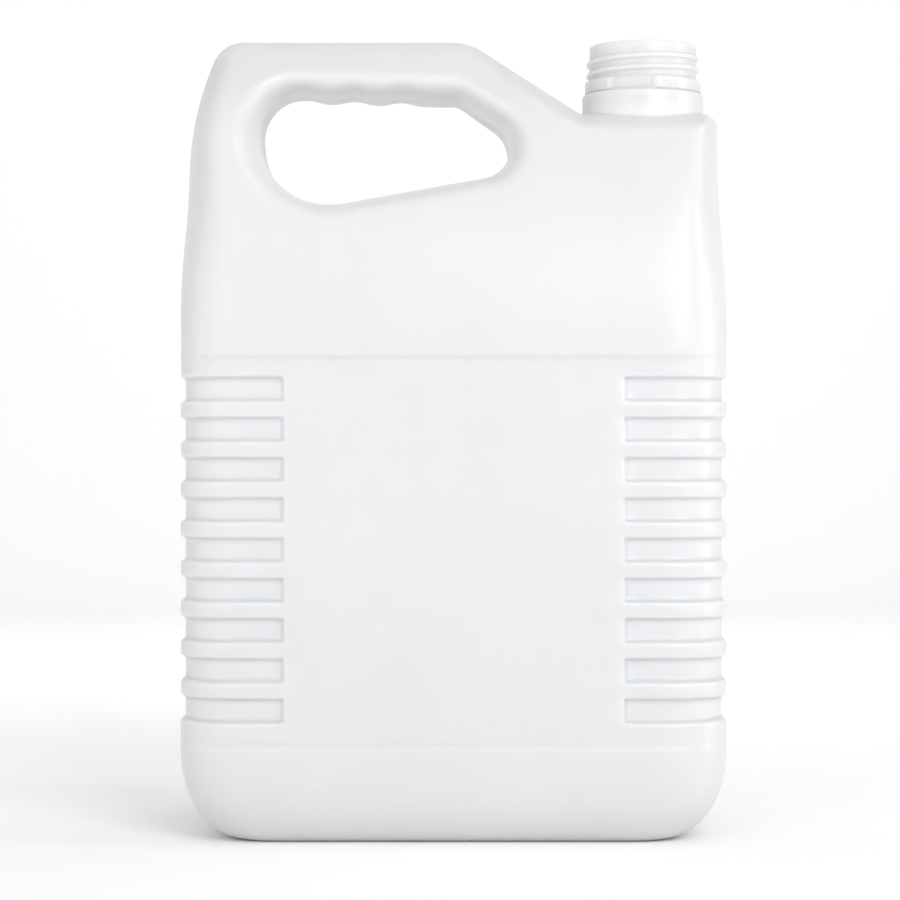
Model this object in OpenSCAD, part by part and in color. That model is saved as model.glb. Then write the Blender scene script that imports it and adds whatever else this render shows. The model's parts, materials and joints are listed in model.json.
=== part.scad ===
/* [Body] */
// Width of the body, from side wall to side wall
body_w = 181; // [170:0.5:200]
// Depth of the body, from front face to back face
body_d = 112; // [106:0.5:130]
// Height from the standing ring to the top of the handle
overall_h = 269; // [264:0.5:280]
// Wall thickness of the blown plastic
wall = 1; // [0.8:0.05:1.3]
// Radius of the upright corners of the body
corner_r = 20; // [16:0.5:24]
// Width of the round foot along the side walls
foot_w = 20; // [14:0.5:24]
// Height of the round foot along the side walls
foot_h = 30; // [22:0.5:30]
// Width of the round foot along the front and back
foot_d = 14; // [10:0.5:18]
// Height of the round foot along the front and back
foot_front_h = 22; // [16:0.5:28]

/* [Base] */
// Width of the flat ring that the jug stands on
ring_w = 6; // [4:0.5:9]
// Width of the slope from the ring up to the hollow of the base
hollow_slope_w = 6; // [4:0.5:9]
// Height of the hollow in the middle of the base
hollow_h = 3; // [1.5:0.25:4]

/* [Label panel] */
// Height of the panel's lower step
panel_low_z = 32; // [30.5:0.25:34]
// Height of the panel's upper step
panel_top_z = 159.2; // [157:0.1:166]
// How far the panel lies below the faces above and under it
panel_recess = 0.9; // [0.4:0.1:1.4]
// Height that each of the two steps takes
panel_step_h = 2; // [1:0.1:2.4]

/* [Grooves] */
// Number of grooves up each side
groove_n = 9; // [3:1:9]
// Height of the middle of the top groove
groove_top_z = 148.5; // [147:0.1:150]
// Distance from one groove to the next
groove_pitch = 13.07; // [12:0.01:13.2]
// Height of a groove at its mouth
groove_mouth_h = 9; // [7.5:0.1:10]
// Height of a groove's flat floor
groove_floor_h = 6.2; // [4.5:0.1:6.6]
// Depth of a groove
groove_depth = 1.6; // [0.8:0.1:2]
// Distance from the middle of the front to the groove's end
groove_end_x = 52.5; // [44:0.5:58]
// Length of the step at the groove's end
groove_end_l = 1.8; // [1:0.1:2.5]

/* [Shoulder and handle] */
// Height of the shoulder that the neck stands on
shoulder_z = 244; // [240:0.5:248]
// Angle of the slope from the handle down to the neck
slope_angle = 33.3; // [31:0.1:36]
// Height at which the front starts to lean back
lean_z = 160; // [160:0.5:166]
// Half depth of the handle at its top
handle_top_d = 14.5; // [13:0.5:17]
// Angle by which the upper side wall leans in
side_lean = 21; // [17:0.5:23]
// Radius of the long bend in the upper side wall
side_bend_r = 105; // [90:1:110]
// Radius of the handle's upper corner
handle_corner_r = 11.5; // [9:0.5:13]
// Radius of the bend from the handle to the slope
slope_bend_r = 20; // [14:1:26]
// Radius of the hollow between slope and shoulder
slope_foot_r = 4; // [2:0.5:6]
// Radius of the corner between shoulder and side wall
shoulder_corner_r = 5.5; // [4:0.5:8]
// Depth of the rounding along the handle's outside
handle_edge = 9; // [7:0.5:9.5]
// Depth of the rounding along the upper side wall
post_edge = 12; // [10:0.5:14]
// Depth of the rounding around the neck
shoulder_edge = 9.5; // [8:0.5:11]

/* [Handle opening] */
// Thickness of the handle bar over the opening
bar_t = 19.4; // [18.5:0.1:21]
// Thickness of the sloping bar beside the opening
slope_bar_t = 19.9; // [18.5:0.1:22]
// Width of the post beside the opening
post_w = 24.7; // [22:0.1:27]
// Fall of the grip from the post to the slope
grip_drop = 1.4; // [0:0.1:2]
// Height at which the opening's lower edge would meet the post
opening_foot_z = 205.8; // [203:0.1:208]
// Angle of the opening's lower edge
opening_tilt = 10.6; // [8:0.1:13]
// Radius of the opening's upper corner at the post
opening_top_r = 12.9; // [10:0.1:14]
// Radius of the opening's upper corner at the slope
opening_bend_r = 8; // [5:0.5:12]
// Radius of the opening's end beside the neck
opening_end_r = 10.7; // [9:0.1:12]
// Radius of the opening's lower corner at the post
opening_low_r = 24.6; // [20:0.1:26]
// Rounding around the opening, measured along the face
opening_edge = 8; // [6:0.5:8.5]
// Rounding around the opening, measured in depth
opening_edge_d = 18; // [12:1:22]
// Distance from one finger hollow to the next
finger_pitch = 16.2; // [14:0.1:18]
// Height of a finger hollow above and below the grip's line
finger_wave = 0.6; // [0:0.1:1]

/* [Neck] */
// Distance from the side wall to the neck's axis
neck_inset = 25.2; // [24:0.1:30]
// Height of the neck's rim
rim_z = 267.7; // [266:0.1:272]
// Radius of the neck's bore
bore_r = 15.9; // [14:0.1:16.6]
// Radius of the neck between its threads
neck_r = 18.4; // [17.8:0.1:19]
// Radius over the thread's crest
thread_r = 19.45; // [19.1:0.05:19.8]
// Rise of the thread in one turn
thread_pitch = 3.83; // [3.4:0.01:4]
// Turns of thread
thread_turns = 1.64; // [1:0.02:1.8]
// Distance from the rim to the top of the thread
thread_drop = 4.3; // [3.6:0.1:5]
// Radius of the ring under the thread
bead_r = 20; // [19.6:0.1:20.6]
// Height of the ring under the thread
bead_h = 4.3; // [3:0.1:4.6]
// Radius of the collar at the neck's foot
collar_r = 20.9; // [20.2:0.1:21.6]
// Height of the collar above the shoulder
collar_h = 6.6; // [5:0.1:7]

/* [Hidden] */
natural = [0.95, 0.96, 0.96];

half_w = body_w / 2;
half_d = body_d / 2;
neck_x = half_w - neck_inset;

// Height of the row where the loft of the body ends and the outline of the handle begins
seam_z = 178;
// Height at which the upper side wall starts to bend in
bend_from_z = 222;
// The heights in this file are those of a jug this tall. The top of a taller one rides up with it
drawn_h = 269;
rise = overall_h - drawn_h;
seam_at = seam_z + rise;
bend_from_at = bend_from_z + rise;
shoulder_at = shoulder_z + rise;
lean_at = lean_z + rise;
rim_at = rim_z + rise;
opening_foot_at = opening_foot_z + rise;
panel_top_at = panel_top_z + rise;
// The grooves share the height of the panel
panel_share = (panel_top_at - panel_low_z) / (panel_top_z - panel_low_z);
groove_top_at = panel_low_z + (groove_top_z - panel_low_z) * panel_share;
groove_pitch_at = groove_pitch * panel_share;

// Least half height of the upright strip at the mould's parting line
parting_flat = 0.8;
// Least radius of a corner that is moved inwards
least_r = 0.6;
// Height over which the body's corner turns into the round edge of the handle
edge_span = 52;
// Distance from the top within which the front has stopped leaning
lean_end = 3;
// How the lean starts and how it ends
lean_start_power = 2.2;
lean_end_power = 1.3;

// Turned corner of an outline: a is before the corner b, and c is after it
function unit(v) = v / norm(v);
function left_of(d) = [-d[1], d[0]];
function turn_sign(d1, d2) = d1[0] * d2[1] - d1[1] * d2[0] < 0 ? -1 : 1;
function half_turn(d1, d2) = acos(min(1, max(-1, d1 * d2))) / 2;
function corner_point(a, b, c, r, f) =
    let (
        d1 = unit(b - a),
        d2 = unit(c - b),
        side = turn_sign(d1, d2),
        half = half_turn(d1, d2),
        start = b - d1 * r * tan(half),
        phi = 2 * half * f
    )
    start + r * (d1 * sin(phi) + side * left_of(d1) * (1 - cos(phi)));
function ramp(t) = let (u = min(1, max(0, t))) u * u * (3 - 2 * u);
function mix(a, b, t) = a + (b - a) * t;

// Half depth of the body at a height: upright, then leaning back to the handle
lean_span = overall_h - lean_end - lean_at;
function lean(z) = pow(min(1, max(0, (z - lean_at) / lean_span)), lean_start_power);
function depth(z) = handle_top_d + (half_d - handle_top_d) * pow(1 - lean(z), lean_end_power);
// Depth that the wall takes up where the front leans
function lean_wall(z, inset) = inset * sqrt(1 + pow(depth(z) - depth(z + 1), 2));

// Rounding of the outline in depth: the body's corner below, the whole half depth above
function edge_depth(z) = mix(corner_r, depth(z) - parting_flat, ramp((z - seam_at) / edge_span));

// Outline of the jug above the seam, clockwise from the side wall under the handle
slope_foot_x = neck_x - collar_r - 1;
slope_top_x = slope_foot_x - (overall_h - shoulder_at) / tan(slope_angle);
lean_in_z = bend_from_at + side_bend_r * tan(side_lean / 2);
outline = [
    [-half_w, seam_at],
    [-half_w, lean_in_z],
    [-half_w + (overall_h - lean_in_z) * tan(side_lean), overall_h],
    [slope_top_x, overall_h],
    [slope_foot_x, shoulder_at],
    [half_w, shoulder_at],
    [half_w, seam_at]
];
outline_r = [0, side_bend_r, handle_corner_r, slope_bend_r, slope_foot_r, shoulder_corner_r, 0];
outline_edge = [corner_r, post_edge, handle_edge, handle_edge, shoulder_edge, shoulder_edge, corner_r];
// Steps along each straight stretch and round each corner
outline_run_n = [4, 1, 14, 6, 6, 5];
outline_turn_n = [0, 4, 5, 3, 2, 3, 0];

// Outline of the handle opening, clockwise from the upper corner at the post
slope_n = [sin(slope_angle), cos(slope_angle)];
slope_line = slope_n * [slope_top_x, overall_h] - slope_bar_t;
opening_x = -half_w + post_w;
grip_z = overall_h - bar_t;
grip_end_z = grip_z - grip_drop;
tilt = tan(opening_tilt);
opening_end_x = (slope_line - slope_n[1] * (opening_foot_at - tilt * opening_x))
    / (slope_n[0] + slope_n[1] * tilt);
opening = [
    [opening_x, grip_z],
    [(slope_line - slope_n[1] * grip_end_z) / slope_n[0], grip_end_z],
    [opening_end_x, opening_foot_at + tilt * (opening_end_x - opening_x)],
    [opening_x, opening_foot_at]
];
opening_r = [opening_top_r, opening_bend_r, opening_end_r, opening_low_r];
opening_run_n = [14, 1, 8, 1];
opening_turn_n = [7, 3, 21, 10];
// Steps of the lower corner that belong to the side of the post
low_turn_start = 4;

// Columns of a cross-section, from the parting line of one side to that of the other
edge_n = 5;
column_n = 15;
fine_n = 8;
function edge_angle(k) = k < 1 ? 0 : (k - 1) * 90 / (edge_n - 1);

// One row is height, inset in width, inset in depth, groove depth and panel recess
function foot_inset(z, w, h) = z >= h ? 0 : w * (1 - sqrt(1 - pow((h - z) / h, 2)));
function foot_row(z) = [z, foot_inset(z, foot_w, foot_h), foot_inset(z, foot_d, foot_front_h), 0, 0];
function groove_z(g) = groove_top_at - (groove_n - 1 - g) * groove_pitch_at;
// Angles of the rows up the round foot
foot_angles = [0, 18, 36, 54, 70, 90];
// Distance of the panel's lower step above its stated height, clear of the foot
panel_clear = 0.5;
rows = concat(
    [
        [hollow_h, foot_w + ring_w + hollow_slope_w, foot_d + ring_w + hollow_slope_w, 0, 0],
        [0, foot_w + ring_w, foot_d + ring_w, 0, 0]
    ],
    [for (a = foot_angles) foot_row(foot_h * (1 - cos(a)))],
    [
        [panel_low_z - panel_step_h / 2 + panel_clear, 0, 0, 0, 0],
        [panel_low_z + panel_step_h / 2 + panel_clear, 0, 0, 0, panel_recess]
    ],
    [
        for (g = [0 : groove_n - 1], e = [-1, -0.5, 0.5, 1])
            [
                groove_z(g) + sign(e) * (abs(e) == 1 ? groove_mouth_h : groove_floor_h) / 2,
                0, 0, abs(e) == 1 ? 0 : groove_depth, panel_recess
            ]
    ],
    [
        [panel_top_at - panel_step_h / 2, 0, 0, 0, panel_recess],
        [panel_top_at + panel_step_h / 2, 0, 0, 0, 0],
        [mix(panel_top_at, seam_at, 0.5), 0, 0, 0, 0],
        [seam_at, 0, 0, 0, 0]
    ]
);
top_row = len(rows) - 1;

// How much the upright corner's radius shrinks as the foot draws in
corner_shrink = 0.35;
// Share of the foot's width over which the wall's thickness turns from sideways to upward
foot_side_share = 0.3;
// Least distance from the upright corner to the groove's end and to the panel
groove_end_clear = 1.2;
panel_end_clear = 2.6;

// A point of the lower body: column i of a row, with the wall taken off when inset is the wall
function body_point(i, row, inset) =
    let (
        side = i <= column_n / 2 ? -1 : 1,
        k = min(i, column_n - i),
        angle = edge_angle(min(k, edge_n)),
        w = half_w - row[1],
        d = depth(row[0]) - row[2],
        r = corner_r - corner_shrink * row[1],
        side_wall = row[1] > foot_w ? 0 : inset,
        cut = row[3] + side_wall,
        under = min(1, max(0, (row[1] / foot_w - foot_side_share) / (1 - foot_side_share))),
        z = row[0] + inset * under
    )
    k == 0 ? [side * (w - cut), 0, z] :
    k <= edge_n ? [
        side * (w - r + (r - cut) * cos(angle)),
        -(d - r + (r - cut) * sin(angle) - row[4] * pow(sin(angle), 2)),
        z
    ] :
    k == edge_n + 1 ? [side * min(groove_end_x + groove_end_l, w - r - groove_end_clear), -(d - cut - row[4]), z] :
    [side * min(groove_end_x, w - r - panel_end_clear), -(d - side_wall - row[4]), z];

// An open or closed outline moved sideways by t at each corner, with its corners kept round
function mitre(p, i, side, closed) =
    let (
        n = len(p),
        first = !closed && i == 0,
        last = !closed && i == n - 1,
        d1 = first ? unit(p[1] - p[0]) : unit(p[i] - p[(i + n - 1) % n]),
        d2 = last ? d1 : unit(p[(i + 1) % n] - p[i]),
        n1 = side * left_of(d1),
        n2 = side * left_of(d2)
    )
    (n1 + n2) / (1 + n1 * n2);
function moved(p, t, side, closed) = [for (i = [0 : len(p) - 1]) p[i] + t[i] * mitre(p, i, side, closed)];
function moved_r(p, r, t, side, closed) =
    let (n = len(p))
    [
        for (i = [0 : n - 1])
            !closed && (i == 0 || i == n - 1) ? 0 :
            let (turn = turn_sign(unit(p[i] - p[(i + n - 1) % n]), unit(p[(i + 1) % n] - p[i])))
            max(least_r, r[i] - turn * side * t[i])
    ];

// The stations of one loop of the outer edge, from seam to seam
function outline_loop(t) =
    let (
        p = moved(outline, t, -1, false),
        r = moved_r(outline, outline_r, t, -1, false)
    )
    [
        for (i = [0 : len(p) - 2])
            let (
                a = i == 0 ? p[0] : corner_point(p[i - 1], p[i], p[i + 1], r[i], 1),
                b = i == len(p) - 2 ? p[i + 1] : corner_point(p[i], p[i + 1], p[i + 2], r[i + 1], 0)
            )
            each concat(
                [for (f = [0 : outline_run_n[i] - 1]) mix(a, b, f / outline_run_n[i])],
                i == len(p) - 2 ? [b] :
                [
                    for (f = [0 : outline_turn_n[i + 1] - 1])
                        corner_point(p[i], p[i + 1], p[i + 2], r[i + 1], f / outline_turn_n[i + 1])
                ]
            )
    ];

// The stations of one loop of the opening, from the middle of its lower corner at the post
function opening_raw(t) =
    let (
        p = moved(opening, [t, t, t, t], 1, true),
        r = moved_r(opening, opening_r, [t, t, t, t], 1, true)
    )
    [
        for (j = [0 : 3])
            let (
                i = (j + 3) % 4,
                prev = p[(i + 3) % 4],
                next = p[(i + 1) % 4],
                after = p[(i + 2) % 4],
                a = corner_point(prev, p[i], next, r[i], 1),
                b = corner_point(p[i], next, after, r[(i + 1) % 4], 0)
            )
            each concat(
                [
                    for (f = [0 : opening_turn_n[i] - 1])
                        corner_point(prev, p[i], next, r[i], f / opening_turn_n[i])
                ],
                [for (f = [0 : opening_run_n[i] - 1]) mix(a, b, f / opening_run_n[i])]
            )
    ];
function rolled(p, n) = [for (i = [0 : len(p) - 1]) p[(i + n) % len(p)]];
// Distance from the upper corner's end to the crest between two fingers, and waves along the grip
finger_from = 2.4;
finger_n = 2.5;
finger_x = opening_x + opening_top_r + finger_from;
function finger(x) = finger_wave * cos(360 * min(finger_n, max(0, (x - finger_x) / finger_pitch)));
// Stations of the opening where the waves begin and end, and how many each takes to grow and to fade
grip_from = 10;
grip_to = 31;
grip_grow_n = 5;
grip_fade_n = 4;
function grip_run(n) = ramp((n - grip_from) / grip_grow_n) * ramp((grip_to - n) / grip_fade_n);
function opening_loop(t, fade) =
    let (p = rolled(opening_raw(t), low_turn_start))
    [for (n = [0 : len(p) - 1]) [p[n][0], p[n][1] + fade * grip_run(n) * finger(p[n][0])]];

// The whole skin, moved in by inset: points of the front half, then the same points behind
station_n = len(outline_loop(outline_edge)) - 1;
loop_n = station_n + 2 * 2 + fine_n;
hole_edge_n = 4;
between_n = 2;
ring_n = hole_edge_n + between_n + 1;

function edge_shift(inset, angle) =
    [for (e = outline_edge) inset + (e - inset) * (1 - cos(angle))];
function edge_loop(k, inset) =
    let (angle = edge_angle(k))
    [
        for (p = outline_loop(edge_shift(inset, angle)))
            let (b = edge_depth(p[1]), d = depth(p[1]))
            [p[0], k == 0 ? 0 : -(d - b + (b - lean_wall(p[1], inset)) * sin(angle)), p[1]]
    ];
function hole_loop(q, inset) =
    let (
        angle = max(0, q - 1) * 90 / (hole_edge_n - 1),
        shift = inset + (opening_edge - inset) * (1 - cos(angle))
    )
    [
        for (p = opening_loop(shift, 1 - ramp((q - 1) / 4)))
            let (d = depth(p[1]), b = min(opening_edge_d, d - parting_flat))
            [p[0], q == 0 ? 0 : -(d - b + (b - lean_wall(p[1], inset)) * sin(angle)), p[1]]
    ];
function seam_point(m, inset) =
    let (x = mix(1, -1, m / fine_n) * groove_end_x)
    [x, -(depth(seam_at) - inset), seam_at];

function skin_points(inset) =
    let (
        body = [for (row = rows, i = [0 : column_n]) body_point(i, row, inset)],
        edge = [for (k = [0 : edge_n]) edge_loop(k, inset)],
        last = top_row * (column_n + 1),
        seam = concat(
            [body[last + column_n - edge_n - 1], body[last + column_n - edge_n - 2]],
            [for (m = [1 : fine_n - 1]) seam_point(m, inset)],
            [body[last + edge_n + 2], body[last + edge_n + 1]]
        ),
        outer = concat(
            [body[last + edge_n]],
            [for (s = [1 : station_n - 1]) edge[edge_n][s]],
            [body[last + column_n - edge_n]],
            seam
        ),
        hole = [for (q = [0 : hole_edge_n]) hole_loop(q, inset)]
    )
    concat(
        body,
        [for (s = [1 : station_n - 1], k = [0 : edge_n]) edge[k][s]],
        [for (m = [1 : fine_n - 1]) seam_point(m, inset)],
        [for (q = [0 : hole_edge_n], n = [0 : loop_n - 1]) hole[q][n]],
        [
            for (q = [1 : between_n], n = [0 : loop_n - 1])
                let (
                    p = mix(hole[hole_edge_n][n], outer[n], q / (between_n + 1))
                )
                [p[0], -(depth(p[2]) - lean_wall(p[2], inset)), p[2]]
        ]
    );

body_count = (top_row + 1) * (column_n + 1);
edge_count = (station_n - 1) * (edge_n + 1);
function body_i(i, j) = j * (column_n + 1) + i;
function edge_i(s, k) =
    s == 0 ? body_i(k, top_row) :
    s == station_n ? body_i(column_n - k, top_row) :
    body_count + (s - 1) * (edge_n + 1) + k;
function fine_i(m) =
    m == 0 ? body_i(edge_n + 3, top_row) :
    m == fine_n ? body_i(edge_n + 2, top_row) :
    body_count + edge_count + m - 1;
function outer_i(n) =
    n <= station_n ? edge_i(n, edge_n) :
    n == station_n + 1 ? body_i(edge_n + 4, top_row) :
    n == loop_n - 1 ? body_i(edge_n + 1, top_row) :
    fine_i(n - station_n - 2);
function hole_i(q, n) =
    q == ring_n ? outer_i(n % loop_n) :
    body_count + edge_count + fine_n - 1 + q * loop_n + n % loop_n;

// The way through the wall under the neck: stations and steps of the outer edge that it takes
mouth_from = 41;
mouth_to = 43;
mouth_k = 2;
function in_mouth(s, k) = s >= mouth_from && s < mouth_to && k < mouth_k;
front_faces = concat(
    [
        for (j = [0 : top_row - 1], i = [0 : column_n - 1])
            if (j < top_row - 1 || i != edge_n + 2)
                [body_i(i, j), body_i(i, j + 1), body_i(i + 1, j + 1), body_i(i + 1, j)]
    ],
    [
        for (m = [0 : fine_n - 1])
            [body_i(edge_n + (m < fine_n / 2 ? 3 : 2), top_row - 1), fine_i(m + 1), fine_i(m)]
    ],
    [[body_i(edge_n + 3, top_row - 1), body_i(edge_n + 2, top_row - 1), fine_i(fine_n / 2)]],
    [
        for (s = [0 : station_n - 1], k = [0 : edge_n - 1])
            if (!in_mouth(s, k))
                [edge_i(s, k), edge_i(s + 1, k), edge_i(s + 1, k + 1), edge_i(s, k + 1)]
    ],
    [
        for (q = [0 : ring_n - 1], n = [0 : loop_n - 1])
            [hole_i(q, n), hole_i(q + 1, n), hole_i(q + 1, n + 1), hole_i(q, n + 1)]
    ]
);
mouth_edge = concat(
    [for (k = [0 : mouth_k]) edge_i(mouth_from, k)],
    [for (s = [mouth_from + 1 : mouth_to - 1]) edge_i(s, mouth_k)],
    [for (k = [mouth_k : -1 : 0]) edge_i(mouth_to, k)]
);
function reversed(list) = [for (i = [len(list) - 1 : -1 : 0]) list[i]];
function in_triangles(f) = len(f) == 3 ? [f] : [[f[0], f[1], f[2]], [f[0], f[2], f[3]]];

// The blown wall: the outer skin, the inner one and the way through between them
module shell() {
    outside = skin_points(0);
    inside = skin_points(wall);
    n = len(outside);
    behind = [for (p = concat(outside, inside)) [p[0], -p[1], p[2]]];
    // Where a front point lies on the parting plane, the point behind is the same one
    back_i = [for (i = [0 : n - 1]) outside[i][1] == 0 ? i : 2 * n + i];
    base = concat(
        [[0, 1, 2], [0, 2, back_i[2]], [0, back_i[2], back_i[1]]],
        [for (i = [2 : column_n - 3]) each [[i, i + 1, back_i[i]], [i + 1, back_i[i + 1], back_i[i]]]],
        let (i = column_n)
        [[i, back_i[i - 1], back_i[i - 2]], [i, back_i[i - 2], i - 2], [i, i - 2, i - 1]]
    );
    skin = concat(
        [for (f = front_faces) each in_triangles(f)],
        [for (f = front_faces) each [for (t = in_triangles(f)) reversed([for (i = t) back_i[i]])]],
        base
    );
    rim = concat(mouth_edge, reversed([for (i = mouth_edge) if (outside[i][1] != 0) back_i[i]]));
    last = len(rim) - 1;
    polyhedron(
        points = concat(outside, inside, behind),
        faces = concat(
            skin,
            [for (t = skin) reversed([for (i = t) i + n])],
            [
                for (i = [0 : last])
                    let (a = rim[i], b = rim[i == last ? 0 : i + 1])
                    each [[b, a, a + n], [b, a + n, b + n]]
            ]
        )
    );
}

// The neck's turned form, from inside the body up to the rim
collar_top = shoulder_at + collar_h;
shoulder_fall = shoulder_edge * (1 - cos(asin(collar_r / depth(shoulder_at))));
// How far the neck reaches into the shoulder's wall, and the gap between collar and ring
neck_sunk = 0.6;
bead_gap = 0.6;
neck_foot_z = shoulder_at - shoulder_fall - neck_sunk;
bead_z = collar_top + bead_gap;
module neck_form() {
    translate([neck_x, 0, 0])
        rotate_extrude($fn = 96)
            polygon([
                [0, neck_foot_z],
                [collar_r, neck_foot_z],
                [collar_r, collar_top - 0.5],
                [collar_r - 0.5, collar_top],
                [bead_r - 0.5, collar_top],
                [bead_r - 0.5, bead_z],
                [bead_r, bead_z + 0.3],
                [bead_r, bead_z + bead_h - 0.8],
                [bead_r - 0.8, bead_z + bead_h],
                [neck_r, bead_z + bead_h],
                [neck_r, rim_at - 1],
                [neck_r - 0.4, rim_at - 0.3],
                [neck_r - 1, rim_at],
                [0, rim_at]
            ]);
}

// One rib of the thread, wound down from the rim
thread_step = 15;
thread_foot_h = 2.6;
thread_crest_h = 0.9;
// Depth of the thread's foot in the neck, and the angle round the axis where it starts
thread_sunk = 0.6;
thread_from = 10;
thread_n = round(thread_turns * 360 / thread_step);
module thread() {
    root_r = neck_r - thread_sunk;
    points = [
        for (s = [0 : thread_n])
            let (
                a = thread_from - s * thread_step,
                z = rim_at - thread_drop - s * thread_step / 360 * thread_pitch,
                grow = ramp(min(s, thread_n - s) / 2 + 0.1),
                r = mix(root_r + thread_sunk / 2, thread_r, grow),
                foot = thread_foot_h / 2,
                crest = thread_crest_h / 2
            )
            for (c = [[root_r, -foot], [r, -crest], [r, crest], [root_r, foot]])
                [neck_x + c[0] * cos(a), c[0] * sin(a), z + c[1]]
    ];
    last = 4 * thread_n;
    polyhedron(
        points = points,
        faces = concat(
            [[3, 2, 1], [3, 1, 0], [last, last + 1, last + 2], [last, last + 2, last + 3]],
            [
                for (s = [0 : thread_n - 1], c = [0 : 3])
                    let (a = 4 * s + c, b = 4 * s + (c + 1) % 4)
                    each [[a, b, b + 4], [a, b + 4, a + 4]]
            ]
        )
    );
}

module jug() {
    color(natural)
        difference() {
            union() {
                shell();
                neck_form();
                thread();
            }
            translate([neck_x, 0, neck_foot_z - 1])
                cylinder(h = rim_at - neck_foot_z + 2, r = bore_r, $fn = 96);
        }
}

jug();
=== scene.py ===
# %% [markdown]
# A blow-moulded gallon jug, built in cells.
#
# The real jug is one piece of milky polyethylene: a hot tube of plastic is caught between two mould halves
# and blown against their walls. So the model is one closed skin too, with an outside, an inside, and the
# neck that joins them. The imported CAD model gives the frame, and the jug made here stands in its place.

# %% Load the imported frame
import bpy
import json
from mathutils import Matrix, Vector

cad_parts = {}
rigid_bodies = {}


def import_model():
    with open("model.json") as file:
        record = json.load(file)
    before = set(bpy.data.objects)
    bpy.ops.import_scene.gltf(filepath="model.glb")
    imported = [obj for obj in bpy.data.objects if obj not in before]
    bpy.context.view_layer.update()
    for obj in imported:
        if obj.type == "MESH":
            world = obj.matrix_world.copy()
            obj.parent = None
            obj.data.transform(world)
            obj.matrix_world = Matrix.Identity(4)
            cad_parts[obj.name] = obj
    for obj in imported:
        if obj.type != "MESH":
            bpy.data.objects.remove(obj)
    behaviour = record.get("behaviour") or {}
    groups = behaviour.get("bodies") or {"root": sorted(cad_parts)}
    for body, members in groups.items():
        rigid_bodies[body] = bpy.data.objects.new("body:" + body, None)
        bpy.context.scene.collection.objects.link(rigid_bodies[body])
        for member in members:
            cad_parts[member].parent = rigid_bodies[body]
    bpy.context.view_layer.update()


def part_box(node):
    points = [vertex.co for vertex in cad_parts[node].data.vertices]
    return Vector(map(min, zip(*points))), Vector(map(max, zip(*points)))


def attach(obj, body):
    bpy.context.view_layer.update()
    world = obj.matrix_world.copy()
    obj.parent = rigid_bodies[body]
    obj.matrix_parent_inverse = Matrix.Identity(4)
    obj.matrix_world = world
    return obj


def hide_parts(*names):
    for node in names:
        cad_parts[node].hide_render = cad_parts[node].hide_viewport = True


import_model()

# %% [markdown]
# Units and small helpers. Blender counts in metres, a mould maker in millimetres, so each size is written
# as a number of mm. The same few blends are needed everywhere: a straight mix and a soft ramp.

# %% Helpers
import json
import math

import bmesh
import bpy
import numpy as np
from mathutils import Vector

mm = 0.001


def mix(a, b, t):
    return a + (b - a) * t


def ramp(t):
    u = np.clip(t, 0, 1)
    return u * u * (3 - 2 * u)


def steps(n):
    """n + 1 even steps from 0 to 1, as a column that multiplies points."""
    return np.linspace(0, 1, n + 1)[:, None]


# %% [markdown]
# The driving sizes. The overall box comes from the frame, so the skin fits the CAD model. The rest are
# the sizes that a designer would dimension: the foot, the panel, the handle, its opening and the neck.

# %% Sizes
jug_low, jug_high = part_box("jug")
half_w = (jug_high[0] - jug_low[0]) / 2
half_d = (jug_high[1] - jug_low[1]) / 2
overall_h = jug_high[2]
wall = 1 * mm
corner_r = 20 * mm
seam_z = 178 * mm
print("half width, half depth, height in mm:", [round(v / mm, 2) for v in (half_w, half_d, overall_h)])

# %% [markdown]
# From the side the jug stands upright and then leans back to a slim handle. One formula gives the half
# depth at each height, and every part of the skin asks it, so that all of them meet.

# %% The lean of the front
lean_z, lean_end = 160 * mm, 3 * mm
lean_start_power, lean_end_power = 2.2, 1.3
lean_span = overall_h - lean_end - lean_z
handle_top_d = 14.5 * mm
parting_flat = 0.8 * mm
edge_span = 52 * mm


def depth(z):
    lean = np.clip((z - lean_z) / lean_span, 0, 1) ** lean_start_power
    return handle_top_d + (half_d - handle_top_d) * (1 - lean) ** lean_end_power


def lean_wall(z, inset):
    """Depth that a wall of this thickness takes up where the front leans."""
    return inset * np.sqrt(1 + ((depth(z) - depth(z + mm)) / mm) ** 2)


def edge_depth(z):
    """How deep the rounded edge reaches: the upright corner below, the whole half depth above."""
    return mix(corner_r, depth(z) - parting_flat, ramp((z - seam_z) / edge_span))


for z in (160, 200, 244, 269):
    print("half depth at", z, "mm:", round(float(depth(z * mm)) / mm, 1))

# %% [markdown]
# Rounded outlines. The handle side of the jug and the opening are drawn as a few corners, each with a
# radius. Moving the corners sideways and shrinking the radii gives the next line of the rounded edge, as
# a fillet does in CAD, but with a known number of points, so that the lines can be woven into faces.

# %% Outline tools
least_r = 0.6 * mm


def unit(v):
    return v / np.linalg.norm(v)


def left_of(d):
    return np.array([-d[1], d[0]])


def corner_arc(a, b, c, r, shares):
    """Points of the rounded corner b between a and c, at the given shares of its arc."""
    d1, d2 = unit(b - a), unit(c - b)
    side = -1 if d1[0] * d2[1] - d1[1] * d2[0] < 0 else 1
    half = math.acos(max(-1, min(1, d1 @ d2))) / 2
    phi = 2 * half * shares[:, None]
    return b - d1 * r * math.tan(half) + r * (d1 * np.sin(phi) + side * left_of(d1) * (1 - np.cos(phi)))


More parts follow.
